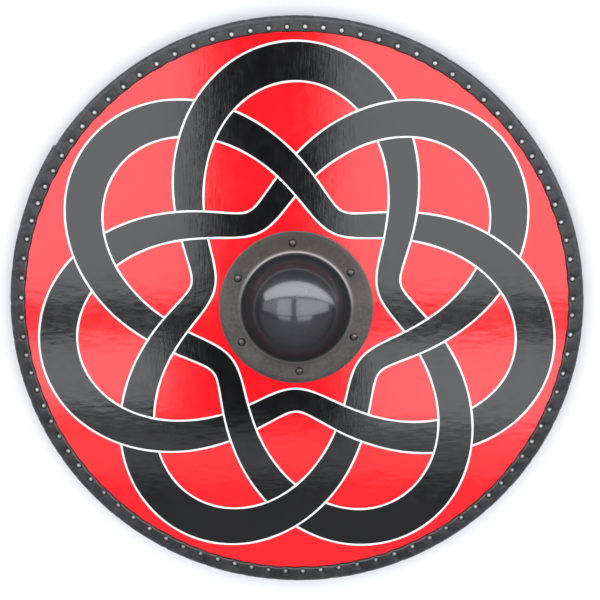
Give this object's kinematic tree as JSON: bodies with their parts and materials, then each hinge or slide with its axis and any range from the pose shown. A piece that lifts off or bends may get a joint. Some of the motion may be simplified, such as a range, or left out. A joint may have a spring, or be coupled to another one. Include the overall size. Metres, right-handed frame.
{
  "type": "wooden round shield",
  "caption": "Round centre-grip shield: flat wooden board painted red with a black knotwork plait, nailed leather rim, domed steel boss, wooden grip behind.",
  "frame": {"origin": "on the shield's axis, at the flat underside of the grip, on which the shield lies", "axes": "+Z out of the painted face, +Y to the top of the face along the grip, +X to the right of the face"},
  "size_m": [0.76, 0.76, 0.0934],
  "materials": {
    "red_paint": "glossy red paint over wood, with faint brush marks",
    "black_paint": "glossy black paint over wood, with faint brush marks",
    "white_paint": "white painted line, satin",
    "bare_wood": "bare oiled wood, fine straight grain",
    "black_leather": "smooth black leather, satin, creased between the nails",
    "blackened_steel": "oil-blackened steel, worn to grey on the flange",
    "rivet_steel": "blackened steel rivet heads",
    "nail_steel": "bright domed nail heads, dark at the foot"
  },
  "bodies": {
    "root": {"board": "red_paint", "leather_rim": "black_leather", "boss": "blackened_steel", "grip": "bare_wood", "boss_rivet_1": "rivet_steel", "boss_rivet_2": "rivet_steel", "boss_rivet_3": "rivet_steel", "boss_rivet_4": "rivet_steel", "boss_rivet_5": "rivet_steel", "boss_rivet_6": "rivet_steel"}
  },
  "joints": []
}
